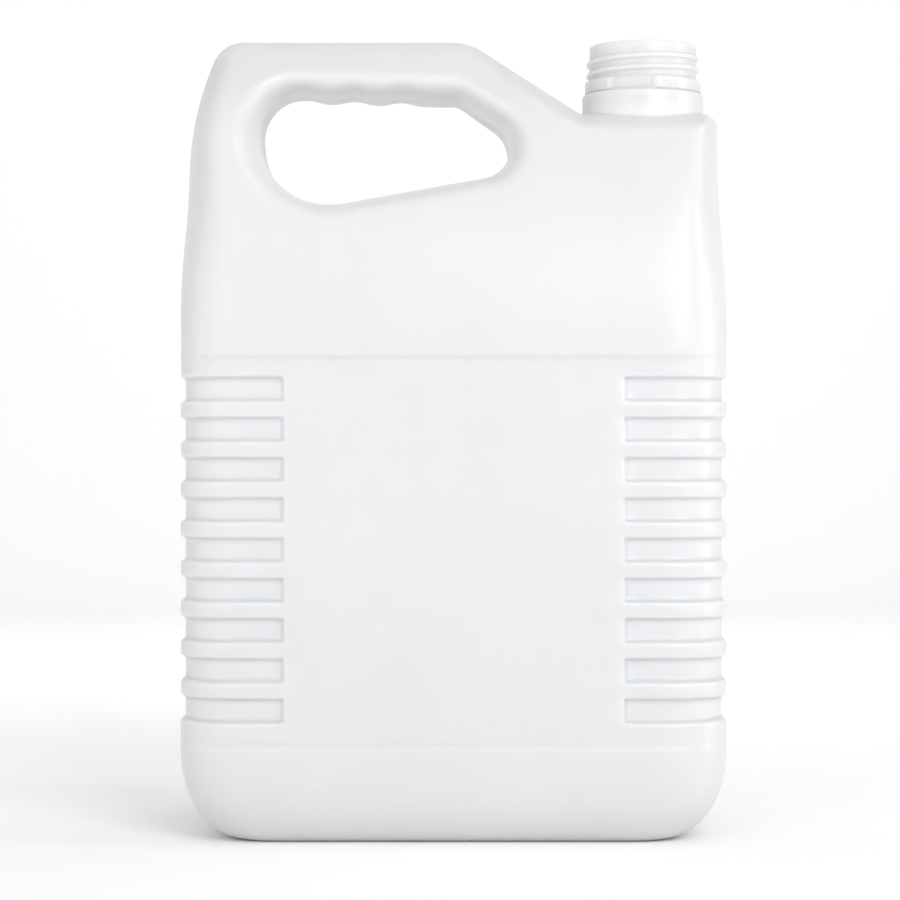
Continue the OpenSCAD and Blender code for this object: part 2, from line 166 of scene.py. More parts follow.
def moved(p, r, t, side, closed):
    """An outline moved sideways by t at each corner, and the radii that keep its arcs on one centre."""
    n = len(p)
    new_p, new_r = [], []
    for i in range(n):
        before = p[i] - p[i - 1] if closed or i > 0 else p[1] - p[0]
        after = p[(i + 1) % n] - p[i] if closed or i < n - 1 else before
        d1, d2 = unit(before), unit(after)
        n1, n2 = side * left_of(d1), side * left_of(d2)
        turn = -1 if d1[0] * d2[1] - d1[1] * d2[0] < 0 else 1
        new_p.append(p[i] + t[i] * (n1 + n2) / (1 + n1 @ n2))
        new_r.append(max(least_r, r[i] - turn * side * t[i]))
    return np.array(new_p), new_r


def stations(p, r, run_n, turns_at, closed):
    """Points along an outline: run_n steps along each straight, and each corner's shares of its arc."""
    n = len(p)
    turns = [
        corner_arc(p[i - 1], p[i], p[(i + 1) % n], r[i], turns_at[i])
        if closed or 0 < i < n - 1
        else p[i : i + 1]
        for i in range(n)
    ]
    line = []
    for i in range(n if closed else n - 1):
        line.append(turns[i][:-1])
        line.append(mix(turns[i][-1], turns[(i + 1) % n][0], steps(run_n[i])[:-1]))
    if not closed:
        line.append(turns[-1])
    return np.concatenate(line)


# %% [markdown]
# The skin's net. Points are kept for the front half only, because the back is its mirror image. Every
# patch of the skin is a grid of point numbers, and weaving a grid gives its four-sided faces. Beside its
# place, each point keeps the direction in which the side grooves push it, and whether it is on the neck.

# %% The net of points and faces
net = {"point": [], "push": [], "neck": []}
woven = []


def add(points, push=None, neck=0.0):
    """Adds a block of points and returns their numbers, arranged alike; neck marks threaded points."""
    points = np.asarray(points, float)
    start = sum(len(block) for block in net["point"])
    count = points.size // 3
    net["point"].append(points.reshape(-1, 3))
    net["push"].append(np.zeros((count, 3)) if push is None else np.asarray(push).reshape(-1, 3))
    net["neck"].append(neck + np.zeros(count))
    return (start + np.arange(count)).reshape(points.shape[:-1])


def weave(grid):
    woven.append(np.stack([grid[:-1, :-1], grid[1:, :-1], grid[1:, 1:], grid[:-1, 1:]], -1).reshape(-1, 4))


# %% [markdown]
# The lower body is a loft: rows one above the other, each a rounded rectangle. A row says how far the
# skin is pulled in at the foot, and how deep the label panel is sunk at that height. The rows crowd
# together where a groove or a step turns, and are sparse where the wall is plain.

# %% Rows of the lower body
foot_w, foot_h = 20 * mm, 30 * mm
foot_d, foot_front_h = 14 * mm, 22 * mm
ring_w, hollow_slope_w, hollow_h = 6 * mm, 6 * mm, 3 * mm
panel_low_z, panel_top_z = 32.5 * mm, 159.2 * mm
panel_recess, panel_step_h = 0.9 * mm, 2 * mm
groove_n, groove_top_z, groove_pitch = 9, 148.5 * mm, 13.07 * mm
groove_mouth_h, groove_floor_h, groove_depth = 9 * mm, 6.2 * mm, 1.6 * mm


def foot_inset(z, w, h):
    return w * (1 - np.sqrt(1 - np.clip((h - z) / h, 0, 1) ** 2))


def row_heights():
    foot = foot_h * (1 - np.cos(np.linspace(0, math.pi / 2, 15)))
    low_step = panel_low_z + panel_step_h * np.linspace(-0.5, 0.5, 5)
    grooves = []
    for g in range(groove_n - 1, -1, -1):
        middle = groove_top_z - g * groove_pitch
        for a, b, n in ((-4.5, -3.1, 4), (-3.1, 3.1, 4), (3.1, 4.5, 4), (4.5, 8.57, 3)):
            grooves.append(middle + np.linspace(a, b, n + 1)[:-1] * mm)
    grooves = np.concatenate(grooves)
    grooves = grooves[grooves < panel_top_z - panel_step_h / 2 - 1.5 * mm]
    top_step = panel_top_z + panel_step_h * np.linspace(-0.5, 0.5, 5)
    rest = np.linspace(panel_top_z + panel_step_h / 2, seam_z, 8)[1:]
    return np.concatenate([foot, low_step, [grooves[0] - 1.6 * mm], grooves, top_step, rest])


def body_rows():
    """One line for each row: height, inset in width, inset in depth and share of the panel's recess."""
    z = row_heights()
    sunk = ramp((z - panel_low_z) / panel_step_h + 0.5) * (1 - ramp((z - panel_top_z) / panel_step_h + 0.5))
    side = np.stack([z, foot_inset(z, foot_w, foot_h), foot_inset(z, foot_d, foot_front_h), sunk], 1)
    base = []
    for f in np.linspace(0, 1, 9):
        base.append([hollow_h * (1 - ramp(f)), ring_w + hollow_slope_w * (1 - f), 0])
    base = np.array(base + [[0, ring_w / 2, 0]])
    base = np.stack([base[:, 0], foot_w + base[:, 1], foot_d + base[:, 1], base[:, 2]], 1)
    return np.concatenate([base, side])


rows = body_rows()
print("rows of the lower body:", len(rows))

# %% [markdown]
# Each row has the same columns: the parting line, the rounded corner, the plain front as far as the
# grooves reach, the short step where they end, and the label panel. A thin ridge stands on the parting
# line, where the mould halves met, so the first column is a little proud of the second.

# %% Columns of the lower body
line_half, line_proud = 0.4 * mm, 0.12 * mm
corner_n, plain_n, step_n, panel_n = 12, 4, 4, 12
edge_angle = np.radians(np.concatenate([[0, 0], np.linspace(0, 90, corner_n - 1)]))
groove_end_x, groove_end_l = 54.6 * mm, 1.8 * mm
corner_shrink, foot_side_share = 0.35, 0.3
step_clear, panel_clear = 2.4 * mm, 1.2 * mm


def body_row(row, inset, proud):
    """The left half of one row, from the parting line to the middle, and its push directions."""
    height, in_w, in_d, sunk = row
    w, d = half_w - in_w, depth(height) - in_d
    r = corner_r - corner_shrink * in_w
    side_wall = 0 if in_w > foot_w + 0.01 * mm else inset
    front = d - side_wall - panel_recess * sunk
    x = w - r + (r - side_wall) * np.cos(edge_angle)
    y = d - r + (r - side_wall) * np.sin(edge_angle) - panel_recess * sunk * np.sin(edge_angle) ** 2
    x[0] = w - max(0, side_wall - proud)
    y[:2] = 0, line_half
    step_x = min(groove_end_x + groove_end_l, w - r - step_clear)
    panel_x = min(groove_end_x, step_x - panel_clear)
    flat_x = np.concatenate([
        np.linspace(w - r, step_x, plain_n + 1)[1:],
        np.linspace(step_x, panel_x, step_n + 1)[1:],
        np.linspace(panel_x, 0, panel_n + 1)[1:],
    ])
    x = np.concatenate([x, flat_x])
    y = np.concatenate([y, np.full(len(flat_x), front)])
    under = min(1, max(0, (in_w / foot_w - foot_side_share) / (1 - foot_side_share)))
    z = np.full(len(x), height + (inset - proud) * under)
    fading = 1 - ramp(np.arange(1, step_n + 1) / step_n)
    reach = np.concatenate([np.ones(corner_n + plain_n + 1), fading, np.zeros(panel_n)])
    angle = np.concatenate([edge_angle, np.full(len(flat_x), math.pi / 2)])
    push = np.stack([-np.cos(angle) * reach, -np.sin(angle) * reach, 0 * angle], 1)
    return np.stack([-x, -y, z], 1), push


def lower_body(inset, proud):
    """Adds the loft of one skin, closes its base, and returns the grid of point numbers."""
    places, pushes = [], []
    for row in rows:
        left, push = body_row(row, inset, proud)
        places.append(np.concatenate([left, left[-2::-1] * [-1, 1, 1]]))
        pushes.append(np.concatenate([push, push[-2::-1] * [-1, 1, 1]]))
    grid = add(places, pushes)
    weave(grid)
    rim = np.array(places[0])[3:-3]
    inner = add(rim * [1, 0, 1] - [0, line_half, 0])
    middle = add(rim * [1, 0, 1] - [0, 0, 3 * proud])
    weave(np.stack([
        grid[0, 2:-2],
        np.concatenate([grid[0, 1:2], inner, grid[0, -2:-1]]),
        np.concatenate([grid[0, :1], middle, grid[0, -1:]]),
    ]))
    return grid


# %% [markdown]
# Above the seam the outline turns into the handle. It runs up the side wall, over the handle, down the
# slope, across the shoulder and down the other side wall. A band of lines follows it, each a little
# further in and nearer to the front, which gives the handle its round section.

# %% The outline of handle and shoulder
neck_x = half_w - 25.2 * mm
shoulder_z = 244 * mm
slope_angle = math.radians(33.3)
side_lean, side_bend_r = math.radians(21), 105 * mm
foot_ring_r, bore_r = 21.6 * mm, 15.9 * mm
bend_from_z = 222 * mm
slope_foot_x = neck_x - 21.9 * mm
slope_top_x = slope_foot_x - (overall_h - shoulder_z) / math.tan(slope_angle)
lean_in_z = bend_from_z + side_bend_r * math.tan(side_lean / 2)
outline = np.array([
    [-half_w, seam_z],
    [-half_w, lean_in_z],
    [-half_w + (overall_h - lean_in_z) * math.tan(side_lean), overall_h],
    [slope_top_x, overall_h],
    [slope_foot_x, shoulder_z],
    [half_w, shoulder_z],
    [half_w, seam_z],
])
outline_r = np.array([0, 105, 11.5, 20, 1, 5.5, 0]) * mm
outline_edge = np.array([20, 12, 9, 9, 9.5, 9.5, 20]) * mm
outline_run = [14, 3, 48, 16, 60, 16]
outline_turn = [0, 12, 14, 10, 3, 10, 0]
neck_from = sum(outline_run[:4]) + sum(outline_turn[:5])
neck_to = neck_from + outline_run[4]
shoulder_r = outline_r[5]
# Share of the shoulder's corner that the neck's foot covers at the parting line
corner_covered = math.asin((neck_x + foot_ring_r - half_w + shoulder_r) / shoulder_r) / (math.pi / 2)

# %% [markdown]
# Under the neck the band can't run straight on, because the neck's foot is a circle. There the lines
# spread from that circle to the front of the shoulder. Their height is read off the same rounded
# shoulder: its section is tabled by angle, and the angle that reaches a point's depth gives its height.

# %% The shoulder round the neck
section_angles = np.radians(np.linspace(0, 90, 181))


def shoulder_section(x, inset, angle):
    """Height and half depth of the rounded shoulder at x, at these angles of its edge."""
    t = inset + (outline_edge[4] - inset) * (1 - np.cos(angle))
    r = np.maximum(least_r, shoulder_r - t)
    past = np.clip(x - (half_w - t - r), 0, r)
    z = shoulder_z - t - r + np.sqrt(r**2 - past**2)
    b = edge_depth(z)
    return z, depth(z) - b + (b - lean_wall(z, inset)) * np.sin(angle)


def shoulder_height(x, y, inset):
    """Heights of the rounded shoulder over the points x, y."""
    heights = []
    for px, py in zip(x, abs(y)):
        z, reached = shoulder_section(px, inset, section_angles)
        heights.append(np.interp(py, reached, z))
    return np.array(heights)


neck_angle = np.linspace(-math.pi, 0, outline_run[4] + 1)


def neck_circle(r, inset):
    x = neck_x + r * np.cos(neck_angle)
    y = r * np.sin(neck_angle)
    y[[0, -1]] = 0
    return np.stack([x, y, shoulder_height(x, y, inset)], 1)


def edge_band(inset, proud, ring_r):
    """The lines of the rounded edge, from the parting plane to the front, as places."""
    band = []
    reach = shoulder_section(neck_x, inset, edge_angle)[1]
    reach[:2] = 0, line_half
    reach = reach / reach[-1]
    covered = corner_covered if ring_r > bore_r else 0
    for k, angle in enumerate(edge_angle):
        start = inset - proud if k == 0 else inset
        shift = start + (outline_edge - start) * (1 - math.cos(angle))
        p, r = moved(outline, outline_r, shift, -1, False)
        turns_at = [np.linspace(0, 1, n + 1) for n in outline_turn]
        turns_at[5] = mix(covered * (1 - reach[k]), 1, turns_at[5])
        line = stations(p, r, outline_run, turns_at, False)
        x, z = line[:, 0], line[:, 1]
        b = edge_depth(z)
        y = -(depth(z) - b + (b - lean_wall(z, inset)) * math.sin(angle))
        y = [0 * y, 0 * y - line_half, y][min(k, 2)]
        band.append(np.stack([x, y, z], 1))
    under = slice(neck_from, neck_to + 1)
    circle, face = neck_circle(ring_r, inset), band[-1][under]
    left, right = face[0, 0], circle[-1, 0]

    def width(y):
        """Width of the fan of lines under the neck at this depth."""
        return right - left + (face[-1, 0] - right) * (y / face[-1, 1]) ** 2

    circle_share = (circle[:, 0] - left) / width(circle[:, 1])
    face_share = (face[:, 0] - left) / width(face[:, 1])
    for k in range(len(band) - 1):
        y = mix(circle[:, 1], face[:, 1], reach[k])
        x = left + width(y) * mix(circle_share, face_share, reach[k])
        band[k][under] = np.stack([x, y, shoulder_height(x, y, inset)], 1)
    return np.array(band)


# %% [markdown]
# The opening for the fingers. It is a hole right through the jug, and its edge is rounded as far as the
# parting plane, which makes the handle a tube. Two shallow waves along its top edge give the fingers
# their places. The face of the jug is then filled between the opening and the outline's band.

# %% The opening and the face round it
opening_x = -half_w + 24.7 * mm
grip_z, grip_end_z = overall_h - 19.4 * mm, overall_h - 20.8 * mm
slope_n = np.array([math.sin(slope_angle), math.cos(slope_angle)])
slope_line = slope_n @ outline[3] - 19.9 * mm
opening_low_z, tilt = 205.8 * mm, math.tan(math.radians(10.6))
opening_end_x = slope_line - slope_n[1] * (opening_low_z - tilt * opening_x)
opening_end_x = opening_end_x / (slope_n[0] + slope_n[1] * tilt)
opening = np.array([
    [opening_x, opening_low_z],
    [opening_x, grip_z],
    [(slope_line - slope_n[1] * grip_end_z) / slope_n[0], grip_end_z],
    [opening_end_x, opening_low_z + tilt * (opening_end_x - opening_x)],
])
opening_r = np.array([24.6, 12.9, 8, 10.7]) * mm
opening_run = [1, 48, 4, 23]
# The opening's end faces the slope with a third of its arc, and the shoulder and side wall with the rest
end_turn = np.concatenate([np.linspace(0, 0.335, 16)[:-1], np.linspace(0.335, 1, 87)])
opening_turns = [np.linspace(0, 1, 35), np.linspace(0, 1, 26), np.linspace(0, 1, 11), end_turn]
opening_edge, opening_edge_d = 8 * mm, 18 * mm
finger_wave, finger_pitch = 0.6 * mm, 16.2 * mm
finger_x = opening_x + opening_r[1] + 2.4 * mm
finger_n = 2.5
# Points of the line where the waves grow and where they fade, and over how many points
grow_from, grow_n, fade_to, fade_n = 28, 18, 101, 14
between_n = 10


def opening_line(shift, fade):
    """One line round the opening, from the middle of its lower corner at the post."""
    p, r = moved(opening, opening_r, np.full(4, shift), 1, True)
    line = np.roll(stations(p, r, opening_run, opening_turns, True), -(len(opening_turns[0]) // 2), 0)
    n = np.arange(len(line))
    held = ramp((n - grow_from) / grow_n) * ramp((fade_to - n) / fade_n)
    wave = np.cos(2 * math.pi * np.clip((line[:, 0] - finger_x) / finger_pitch, 0, finger_n))
    line[:, 1] += finger_wave * fade * held * wave
    return line


def face_lines(inset, proud, outer):
    """Lines from the inside of the opening out to the last one before the closed line outer."""
    lines = []
    for q, angle in enumerate(edge_angle):
        start = inset - proud if q == 0 else inset
        shift = start + (opening_edge - start) * (1 - math.cos(angle))
        line = opening_line(shift, 1 - ramp(angle / math.radians(120)))
        x, z = line[:, 0], line[:, 1]
        b = np.minimum(opening_edge_d, depth(z) - parting_flat)
        y = -(depth(z) - b + (b - lean_wall(z, inset)) * math.sin(angle))
        y = [0 * y, 0 * y - line_half, y][min(q, 2)]
        lines.append(np.stack([x, y, z], 1))
    for q in range(1, between_n):
        line = mix(lines[corner_n], outer, q / between_n)
        line[:, 1] = -(depth(line[:, 2]) - lean_wall(line[:, 2], inset))
        lines.append(line)
    return np.array(lines)


def skin(inset, proud, ring_r):
    """Adds one whole skin of the front half and returns the numbers of the ring under the neck."""
    body = lower_body(inset, proud)
    band = edge_band(inset, proud, ring_r)
    edge = np.empty(band.shape[:2], int)
    edge[:, 0] = body[-1, : corner_n + 1]
    edge[:, -1] = body[-1, ::-1][: corner_n + 1]
    edge[:, 1:-1] = add(band[:, 1:-1])
    weave(edge)
    outer = np.concatenate([edge[-1], body[-1, corner_n + 1 : -corner_n - 1][::-1]])
    places = np.concatenate(net["point"])
    face = add(face_lines(inset, proud, places[outer]))
    face = np.concatenate([face, outer[None]])
    weave(np.concatenate([face, face[:, :1]], 1))
    return edge[0, neck_from : neck_to + 1]


outside = skin(line_proud, line_proud, foot_ring_r)
inside = skin(wall, 0, bore_r)
print("points of the two skins, front half:", sum(len(block) for block in net["point"]))

# %% [markdown]
# The neck joins the two skins. Its section is a short list of radii and heights: the foot's fillet, the
# collar, the ring, the plain neck for the thread, the round rim, and the bore back down to the inside.
# Its rows are close together, because the thread is raised from them in the next step. The ring has a short
# window in the front, where its points are set further in, and only the plain neck is marked for the thread.

# %% The neck
collar_r, collar_top_z = 20.9 * mm, 250.6 * mm
bead_r, bead_z, bead_h = 20 * mm, 251.2 * mm, 4.3 * mm
neck_r, rim_z = 18.4 * mm, 267.7 * mm
window_cut, window_angles = 1.1 * mm, np.radians([-127, -83])


def neck_rows(foot, bore_end):
    """The neck's rows between the foot ring on the shoulder and the ring at the bore's lower end."""
    profile = []
    fillet = foot_ring_r - collar_r
    for a in np.radians([30, 60, 90]):
        profile.append((foot_ring_r - fillet * math.sin(a), foot[:, 2] + fillet * (1 - math.cos(a))))
    for f in np.linspace(0, 1, 6)[1:]:
        profile.append((collar_r, mix(foot[:, 2] + fillet, collar_top_z - 0.5 * mm, f)))
    turned = [
        (collar_r - 0.15 * mm, collar_top_z - 0.15 * mm), (collar_r - 0.5 * mm, collar_top_z),
        (bead_r - 0.45 * mm, collar_top_z), (bead_r - 0.6 * mm, collar_top_z + 0.3 * mm),
        (bead_r - 0.45 * mm, bead_z), (bead_r - 0.1 * mm, bead_z + 0.1 * mm),
    ]
    turned += [(bead_r, bead_z + h * mm) for h in np.linspace(0.3, 3.5, 9)]
    turned += [(bead_r - 0.2 * mm, bead_z + bead_h - 0.35 * mm), (bead_r - 0.7 * mm, bead_z + bead_h)]
    turned += [(neck_r + 0.3 * mm, bead_z + bead_h + 0.05 * mm)]
    turned += [(neck_r, z) for z in np.linspace(bead_z + bead_h + 0.35 * mm, rim_z - 1 * mm, 38)]
    for a in np.radians([22, 45, 68, 90]):
        turned.append((neck_r - 1 * mm + mm * math.cos(a), rim_z - mm + mm * math.sin(a)))
    turned.append((bore_r + 0.7 * mm, rim_z))
    for a in np.radians([30, 60, 90]):
        turned.append((bore_r + 0.7 * mm * (1 - math.sin(a)), rim_z - 0.7 * mm * (1 - math.cos(a))))
    profile += [(r, np.full(len(foot), z)) for r, z in turned]
    for f in np.linspace(0, 1, 13)[1:-1]:
        profile.append((bore_r, mix(np.full(len(foot), rim_z - 0.7 * mm), bore_end[:, 2], f)))
    return profile


def neck(foot_ids, bore_ids):
    places = np.concatenate(net["point"])
    in_window = (neck_angle > window_angles[0]) & (neck_angle < window_angles[1])
    lines, threaded = [], []
    for r, z in neck_rows(places[foot_ids], places[bore_ids]):
        on_ring = abs(r - bead_r + 0.1 * mm) < 0.15 * mm
        row_r = r - window_cut * in_window * on_ring
        y = row_r * np.sin(neck_angle)
        y[[0, -1]] = 0
        lines.append(np.stack([neck_x + row_r * np.cos(neck_angle), y, z], 1))
        threaded.append(float(r == neck_r))
    grid = add(lines, neck=np.repeat(threaded, len(neck_angle)))
    weave(np.concatenate([foot_ids[None], grid, bore_ids[None]]))
    return grid


neck_grid = neck(outside, inside)
print("rows of the neck:", len(neck_grid))

# %% [markdown]
# The net is mirrored in the parting plane and made a mesh. Points that lie on the plane belong to both
# halves. The push directions and the neck mark go with the points as attributes, where Geometry Nodes
# can read them.

# %% The whole skin as a mesh
def whole_skin(name):
    front = {key: np.concatenate(blocks) for key, blocks in net.items()}
    faces = np.concatenate(woven)
    count = len(front["point"])
    off_plane = np.flatnonzero(abs(front["point"][:, 1]) > 1e-9)
    back = np.arange(count)
    back[off_plane] = count + np.arange(len(off_plane))
    flip = np.array([1, -1, 1])
    points = np.concatenate([front["point"], front["point"][off_plane] * flip])
    pushes = np.concatenate([front["push"], front["push"][off_plane] * flip])
    necks = np.concatenate([front["neck"], front["neck"][off_plane]])
    faces = np.concatenate([faces, back[faces[:, ::-1]]])
    mesh = bpy.data.meshes.new(name)
    mesh.from_pydata(points.tolist(), [], faces.tolist())
    mesh.attributes.new("push", "FLOAT_VECTOR", "POINT").data.foreach_set("vector", pushes.ravel())
    mesh.attributes.new("on_neck", "FLOAT", "POINT").data.foreach_set("value", necks)
    bm = bmesh.new()
    bm.from_mesh(mesh)
    bmesh.ops.recalc_face_normals(bm, faces=bm.faces)
    if bm.calc_volume(signed=True) < 0:
        bmesh.ops.reverse_faces(bm, faces=bm.faces)
    loose = [e for e in bm.edges if len(e.link_faces) != 2]
    print(name, "faces:", len(bm.faces), "open edges:", len(loose))
    print("plastic in cm3:", round(bm.calc_volume() * 1e6, 1))
    bm.to_mesh(mesh)
    bm.free()
    mesh.update()
    return mesh


blank = bpy.data.objects.new("jug_blank", whole_skin("jug_blank"))
bpy.context.scene.collection.objects.link(blank)

# %% [markdown]
# The plastic. Natural polyethylene is milky: light enters the wall, scatters and comes out again nearby,
# so shadows on it are soft and pale. That is what Subsurface does. The surface is satin with a very fine
# unevenness from the blown skin, which Noise gives through roughness and bump on Object coordinates. The
# foot, the handle and the neck get painted shade: a ramp along the height and a mask round the neck make
# their colour a little darker.

# %% Material: natural polyethylene
def natural_plastic():
    material = bpy.data.materials.new("natural_polyethylene")
    material.use_nodes = True
    nodes, links = material.node_tree.nodes, material.node_tree.links
    shader = nodes["Principled BSDF"]
    shader.inputs["Subsurface Weight"].default_value = 0.6
    shader.inputs["Subsurface Radius"].default_value = (1.0, 0.95, 0.9)
    shader.inputs["Subsurface Scale"].default_value = 0.006
    shader.inputs["IOR"].default_value = 1.5
    place = nodes.new("ShaderNodeTexCoord")
    mottle = nodes.new("ShaderNodeTexNoise")
    mottle.inputs["Scale"].default_value = 18
    mottle.inputs["Detail"].default_value = 3
    links.new(place.outputs["Object"], mottle.inputs["Vector"])
    tint = nodes.new("ShaderNodeValToRGB")
    tint.color_ramp.elements[0].position = 0.3
    tint.color_ramp.elements[0].color = (0.87, 0.88, 0.89, 1)
    tint.color_ramp.elements[1].position = 0.7
    tint.color_ramp.elements[1].color = (0.91, 0.917, 0.925, 1)
    links.new(mottle.outputs["Fac"], tint.inputs["Fac"])
    part_way = nodes.new("ShaderNodeSeparateXYZ")
    links.new(place.outputs["Object"], part_way.inputs[0])
    share = nodes.new("ShaderNodeMapRange")
    share.inputs["From Max"].default_value = overall_h
    links.new(part_way.outputs["Z"], share.inputs["Value"])
    # Painted shade: a grey ramp along the height darkens the colour at the foot and at the top, over the
    # handle and the neck.
    height_shade_ramp = nodes.new("ShaderNodeValToRGB")
    shade_stops = [(0, 0.88), (0.12, 0.93), (0.3, 0.98), (0.6, 1), (0.86, 0.99), (0.93, 0.87)]
    while len(height_shade_ramp.color_ramp.elements) < len(shade_stops):
        height_shade_ramp.color_ramp.elements.new(0.5)
    for element, (position, grey) in zip(height_shade_ramp.color_ramp.elements, shade_stops):
        element.position = position
        element.color = (grey, grey, grey, 1)
    links.new(share.outputs["Result"], height_shade_ramp.inputs["Fac"])
    # Painted shade on the neck: a mask on x and height darkens the neck's colour by up to 14 percent.
    on_neck = []
    for axis, start, end in (("X", 36 * mm, 44 * mm), ("Z", 241 * mm, 247 * mm)):
        gate = nodes.new("ShaderNodeMapRange")
        gate.inputs["From Min"].default_value = start
        gate.inputs["From Max"].default_value = end
        links.new(part_way.outputs[axis], gate.inputs["Value"])
        on_neck.append(gate.outputs["Result"])
    neck_shade_mask = nodes.new("ShaderNodeMath")
    neck_shade_mask.operation = "MULTIPLY"
    links.new(on_neck[0], neck_shade_mask.inputs[0])
    links.new(on_neck[1], neck_shade_mask.inputs[1])
    neck_painted_shade = nodes.new("ShaderNodeMapRange")
    neck_painted_shade.inputs["To Min"].default_value = 1
    neck_painted_shade.inputs["To Max"].default_value = 0.86
    links.new(neck_shade_mask.outputs[0], neck_painted_shade.inputs["Value"])
    # Both painted shades, the height ramp and the neck mask, are multiplied into the plastic's colour here.
    combined_painted_shade = nodes.new("ShaderNodeVectorMath")
    combined_painted_shade.operation = "SCALE"
    links.new(height_shade_ramp.outputs["Color"], combined_painted_shade.inputs[0])
    links.new(neck_painted_shade.outputs["Result"], combined_painted_shade.inputs["Scale"])
    shaded = nodes.new("ShaderNodeVectorMath")
    shaded.operation = "MULTIPLY"
    links.new(tint.outputs["Color"], shaded.inputs[0])
    links.new(combined_painted_shade.outputs[0], shaded.inputs[1])
    links.new(shaded.outputs[0], shader.inputs["Base Color"])
    gloss = nodes.new("ShaderNodeMapRange")
    gloss.inputs["To Min"].default_value = 0.28
    gloss.inputs["To Max"].default_value = 0.38
    links.new(mottle.outputs["Fac"], gloss.inputs["Value"])
    links.new(gloss.outputs["Result"], shader.inputs["Roughness"])
    grain = nodes.new("ShaderNodeTexNoise")
    grain.inputs["Scale"].default_value = 420
    grain.inputs["Detail"].default_value = 2
    links.new(place.outputs["Object"], grain.inputs["Vector"])
    bump = nodes.new("ShaderNodeBump")
    bump.inputs["Strength"].default_value = 0.12
    bump.inputs["Distance"].default_value = 0.0004
    links.new(grain.outputs["Fac"], bump.inputs["Height"])
    links.new(bump.outputs["Normal"], shader.inputs["Normal"])
    return material


plastic = natural_plastic()
print("material:", plastic.name)

# %% [markdown]
# What repeats is cut and raised by Geometry Nodes. Nine grooves run round each side of the body, one
# pitch apart, and a thread winds down the neck. Neither is a separate piece on the real jug, so the tree
# doesn't add geometry: it moves the points of the blank by two rules, one on height and one on height
# and angle. The sizes are the tree's named inputs, so another jug of the family only sets new numbers.

# %% A tree and its arithmetic
relief_sizes = {
    "Grooves": groove_n,
    "Top groove height": groove_top_z,
    "Groove pitch": groove_pitch,
    "Groove mouth": groove_mouth_h,
    "Groove floor": groove_floor_h,
    "Groove depth": groove_depth,
    "Neck axis": neck_x,
    "Thread top": rim_z - 4.3 * mm,
    "Thread pitch": 3.83 * mm,
    "Thread turns": 1.64,
    "Thread height": 1.05 * mm,
    "Thread foot": 2.0 * mm,
    "Thread crest": 0.9 * mm,
}


def calc(tree, operation, *values):
    """Adds one Math node; a value is a socket or a number."""
    node = tree.nodes.new("ShaderNodeMath")
    node.operation = operation
    for socket, value in zip(node.inputs, values):
        if isinstance(value, (int, float)):
            socket.default_value = value
        else:
            tree.links.new(value, socket)
    return node.outputs[0]


def soft(tree, value):
    """Clamps a value to 0..1 and rounds both ends, as the ramp helper does."""
    node = tree.nodes.new("ShaderNodeMapRange")
    node.interpolation_type = "SMOOTHSTEP"
    tree.links.new(value, node.inputs["Value"])
    return node.outputs["Result"]


def named(tree, name, data_type):
    node = tree.nodes.new("GeometryNodeInputNamedAttribute")
    node.data_type = data_type
    node.inputs["Name"].default_value = name
    return node.outputs["Attribute"]


# %% [markdown]
# The groove rule asks how far a point is from the middle of its nearest groove. The thread rule unrolls
# the neck: it turns the point's angle into a share of a turn, adds its depth below the thread's top in
# pitches, and asks how far that is from a whole number.

# %% The two rules
def groove_cut(tree, size, z):
    below = calc(tree, "DIVIDE", calc(tree, "SUBTRACT", size["Top groove height"], z), size["Groove pitch"])
    last = calc(tree, "SUBTRACT", size["Grooves"], 1.0)
    nearest = calc(tree, "MINIMUM", calc(tree, "MAXIMUM", calc(tree, "ROUND", below), 0.0), last)
    pitches = calc(tree, "SUBTRACT", below, nearest)
    away = calc(tree, "ABSOLUTE", calc(tree, "MULTIPLY", pitches, size["Groove pitch"]))
    half_mouth = calc(tree, "DIVIDE", size["Groove mouth"], 2.0)
    half_floor = calc(tree, "DIVIDE", size["Groove floor"], 2.0)
    slope = calc(tree, "SUBTRACT", half_mouth, half_floor)
    share = calc(tree, "DIVIDE", calc(tree, "SUBTRACT", half_mouth, away), slope)
    return calc(tree, "MULTIPLY", soft(tree, share), calc(tree, "MULTIPLY", size["Groove depth"], -1.0))


thread_start, thread_end_rate = math.radians(10), 14.0


def thread_rise(tree, size, x, y, z):
    angle = calc(tree, "ARCTAN2", y, calc(tree, "SUBTRACT", x, size["Neck axis"]))
    turn = calc(tree, "DIVIDE", calc(tree, "SUBTRACT", thread_start, angle), 2 * math.pi)
    fallen = calc(tree, "DIVIDE", calc(tree, "SUBTRACT", size["Thread top"], z), size["Thread pitch"])
    off = calc(tree, "SUBTRACT", fallen, turn)
    lap = calc(tree, "ROUND", off)
    pitches = calc(tree, "SUBTRACT", off, lap)
    away = calc(tree, "ABSOLUTE", calc(tree, "MULTIPLY", pitches, size["Thread pitch"]))
    half_foot = calc(tree, "DIVIDE", size["Thread foot"], 2.0)
    half_crest = calc(tree, "DIVIDE", size["Thread crest"], 2.0)
    flank = calc(tree, "SUBTRACT", half_foot, half_crest)
    share = calc(tree, "DIVIDE", calc(tree, "SUBTRACT", half_foot, away), flank)
    wound = calc(tree, "ADD", turn, lap)
    left = calc(tree, "SUBTRACT", size["Thread turns"], wound)
    ends = calc(tree, "MULTIPLY", calc(tree, "MINIMUM", wound, left), thread_end_rate)
    rise = calc(tree, "MULTIPLY", soft(tree, share), soft(tree, ends))
    return calc(tree, "MULTIPLY", rise, size["Thread height"]), angle


